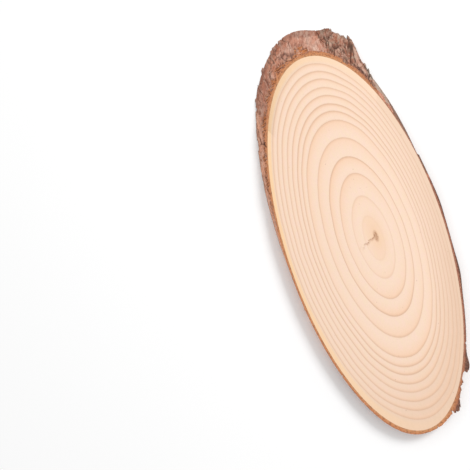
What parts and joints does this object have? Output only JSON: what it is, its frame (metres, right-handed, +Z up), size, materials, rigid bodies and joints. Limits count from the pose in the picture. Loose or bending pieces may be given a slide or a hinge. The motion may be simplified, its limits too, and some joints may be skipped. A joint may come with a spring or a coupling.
{
  "type": "wood slice",
  "caption": "Flat oval slab of pale softwood with growth rings and a rim of bark, sawn at a slant from a young trunk.",
  "frame": {"origin": "on the underside, below the middle of the slab's box", "axes": "+Z up through the slab, square to its sawn faces; +X along the long oval, towards the end where the bark rim tucks in under the top face, so -X is the end where it slopes out; +Y across the slab"},
  "size_m": [0.2648, 0.103, 0.0072],
  "materials": {
    "sawn_softwood": "raw"
  },
  "bodies": {
    "root": {"wood_slice": "sawn_softwood"}
  },
  "joints": []
}
